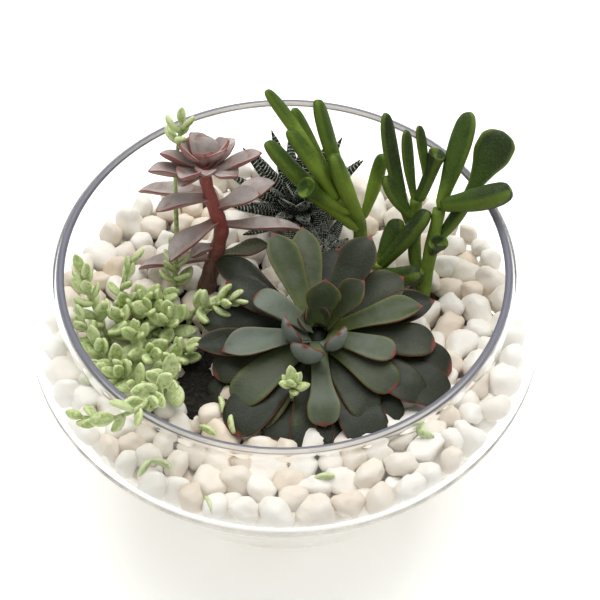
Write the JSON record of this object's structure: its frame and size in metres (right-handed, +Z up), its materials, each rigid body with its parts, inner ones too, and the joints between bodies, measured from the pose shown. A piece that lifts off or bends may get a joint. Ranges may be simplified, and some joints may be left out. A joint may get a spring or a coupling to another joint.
{
  "type": "glass plant terrarium",
  "caption": "Open round glass bowl filled with soil and white pebbles and planted with succulents.",
  "frame": {"origin": "centre of the bowl's round foot, on the surface it stands on", "axes": "+Z up along the bowl's axis, -Y towards the front of the planting, +X to the right seen from the front"},
  "size_m": [0.299, 0.299, 0.2003],
  "materials": {
    "clear_glass": "polished",
    "white_pebbles": "matte",
    "dark_soil": "matte",
    "grey_green_leaf": "satin",
    "mauve_leaf": "satin",
    "green_finger": "satin",
    "dark_green_leaf": "satin",
    "pale_green_leaf": "matte"
  },
  "bodies": {
    "root": {"glass_bowl": "clear_glass", "pebble_bed": "white_pebbles", "soil": "dark_soil", "echeveria_large": "grey_green_leaf", "echeveria_purple": "mauve_leaf", "crassula_left": "green_finger", "crassula_right": "green_finger", "crassula_offshoot": "green_finger", "haworthia": "dark_green_leaf", "sedum_tall": "pale_green_leaf", "sedum_thin": "pale_green_leaf", "sedum_left": "pale_green_leaf", "sedum_middle": "pale_green_leaf", "sedum_outer": "pale_green_leaf", "sedum_front_left": "pale_green_leaf", "sedum_inner": "pale_green_leaf", "sedum_right": "pale_green_leaf", "sedum_front": "pale_green_leaf", "sedum_back": "pale_green_leaf", "sedum_sprig": "pale_green_leaf", "sedum_front_sprig": "pale_green_leaf", "sedum_trailing": "pale_green_leaf"}
  },
  "joints": []
}
